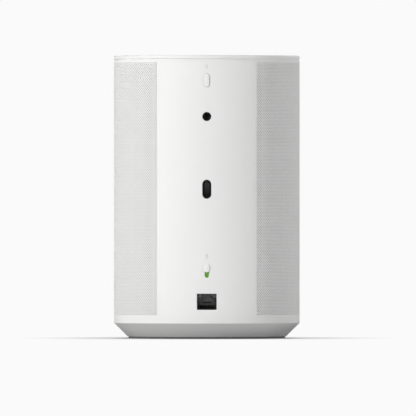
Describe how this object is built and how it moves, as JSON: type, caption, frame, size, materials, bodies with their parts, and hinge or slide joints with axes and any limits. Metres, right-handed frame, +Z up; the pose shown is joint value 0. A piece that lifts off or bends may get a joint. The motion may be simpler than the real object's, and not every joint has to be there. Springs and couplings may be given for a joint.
{
  "type": "smart speaker",
  "caption": "Compact upright smart speaker with an oblong footprint, a perforated wrap-round shell, a smooth back panel with ports, and a chamfered base.",
  "frame": {"origin": "on the standing surface, at the middle of the footprint", "axes": "+Z up, the listening side faces -Y, the port side faces +Y, +X is to the listener's right when facing the listening side"},
  "size_m": [0.12, 0.1314, 0.1825],
  "materials": {
    "shell_plastic": "fine matt moulded texture, white",
    "button_plastic": "satin moulded white",
    "indicator_plastic": "green, hidden end orange",
    "black_plastic": "satin moulded black",
    "clear_plastic": "clear moulded light guide",
    "acoustic_cloth": "fine open-weave acoustic cloth",
    "foot_rubber": "matt silicone rubber, dark grey",
    "surround_rubber": "soft matt butyl rubber",
    "gasket_foam": "closed-cell foam",
    "circuit_board": "green solder resist",
    "tin_steel": "tinned, lightly rolled",
    "black_steel": "black zinc and black paint",
    "extruded_aluminium": "natural, extruded",
    "dome_metal": "anodised grey",
    "coil_copper": "lacquered winding",
    "contact_gold": "gold plated spring contacts",
    "ferrite": "sintered, dull",
    "cone_paper": "pressed paper, coated",
    "spider_cloth": "resin-dipped woven cloth",
    "ribbon_film": "flat cable film"
  },
  "bodies": {
    "cabinet": {"grille_shell": "shell_plastic", "back_panel": "shell_plastic", "top_cap": "shell_plastic", "base_shell": "shell_plastic", "rubber_foot": "foot_rubber", "acoustic_cloth": "acoustic_cloth", "status_light_guide": "clear_plastic", "touch_board": "circuit_board", "microphone_1": "tin_steel", "microphone_2": "tin_steel", "microphone_3": "tin_steel", "microphone_4": "tin_steel", "base_screw_1": "black_steel", "base_screw_2": "black_steel", "base_screw_3": "black_steel", "base_screw_4": "black_steel", "woofer_screw_1": "black_steel", "woofer_screw_2": "black_steel", "woofer_screw_3": "black_steel", "woofer_screw_4": "black_steel", "enclosure_front": "black_plastic", "enclosure_rear": "black_plastic", "enclosure_gasket": "gasket_foam", "woofer_basket": "black_steel", "woofer_surround": "surround_rubber", "woofer_spider": "spider_cloth", "woofer_top_plate": "tin_steel", "woofer_magnet": "ferrite", "woofer_yoke": "tin_steel", "tweeter_waveguide_left": "black_plastic", "tweeter_waveguide_right": "black_plastic", "tweeter_motor_left": "black_steel", "tweeter_motor_right": "black_steel", "pairing_switch": "black_plastic", "mic_switch_body": "black_steel", "mounting_insert": "black_steel", "usb_recess": "black_plastic", "usb_receptacle": "tin_steel", "usb_tongue": "black_plastic", "rj45_housing": "black_plastic", "rj45_shield": "tin_steel", "rj45_contacts": "contact_gold", "rj45_light_guide_left": "clear_plastic", "rj45_light_guide_right": "clear_plastic", "main_board": "circuit_board", "heat_sink": "extruded_aluminium", "poe_transformer": "ferrite", "bulk_capacitor": "extruded_aluminium", "filter_capacitor": "extruded_aluminium", "processor_shield": "tin_steel", "antenna": "circuit_board", "ribbon_cable": "ribbon_film"},
    "woofer_moving_parts": {"woofer_cone": "cone_paper", "woofer_dust_cap": "cone_paper", "woofer_voice_coil": "coil_copper"},
    "left_tweeter_dome": {"tweeter_dome_left": "dome_metal"},
    "right_tweeter_dome": {"tweeter_dome_right": "dome_metal"},
    "pairing_button": {"pairing_button": "button_plastic"},
    "mic_switch": {"mic_switch_slider": "button_plastic", "mic_switch_indicator": "indicator_plastic"}
  },
  "joints": [
    {"name": "woofer_excursion", "type": "slide", "parent": "cabinet", "child": "woofer_moving_parts", "axis": [0, -1, 0], "range_m": [-0.004, 0.004], "stiffness_N_per_m": 1500, "deforming": ["woofer_surround", "woofer_spider"]},
    {"name": "left_tweeter_excursion", "type": "slide", "parent": "cabinet", "child": "left_tweeter_dome", "axis": [-0.5, -0.866, 0], "range_m": [-0.0003, 0.0003], "stiffness_N_per_m": 2000},
    {"name": "right_tweeter_excursion", "type": "slide", "parent": "cabinet", "child": "right_tweeter_dome", "axis": [0.5, -0.866, 0], "range_m": [-0.0003, 0.0003], "stiffness_N_per_m": 2000},
    {"name": "pairing_button_press", "type": "slide", "parent": "cabinet", "child": "pairing_button", "axis": [0, -1, 0], "range_m": [0, 0.0007], "stiffness_N_per_m": 1500, "springref_m": -0.0003},
    {"name": "mic_switch_slide", "type": "slide", "parent": "cabinet", "child": "mic_switch", "axis": [0, 0, -1], "range_m": [0, 0.0035]}
  ]
}
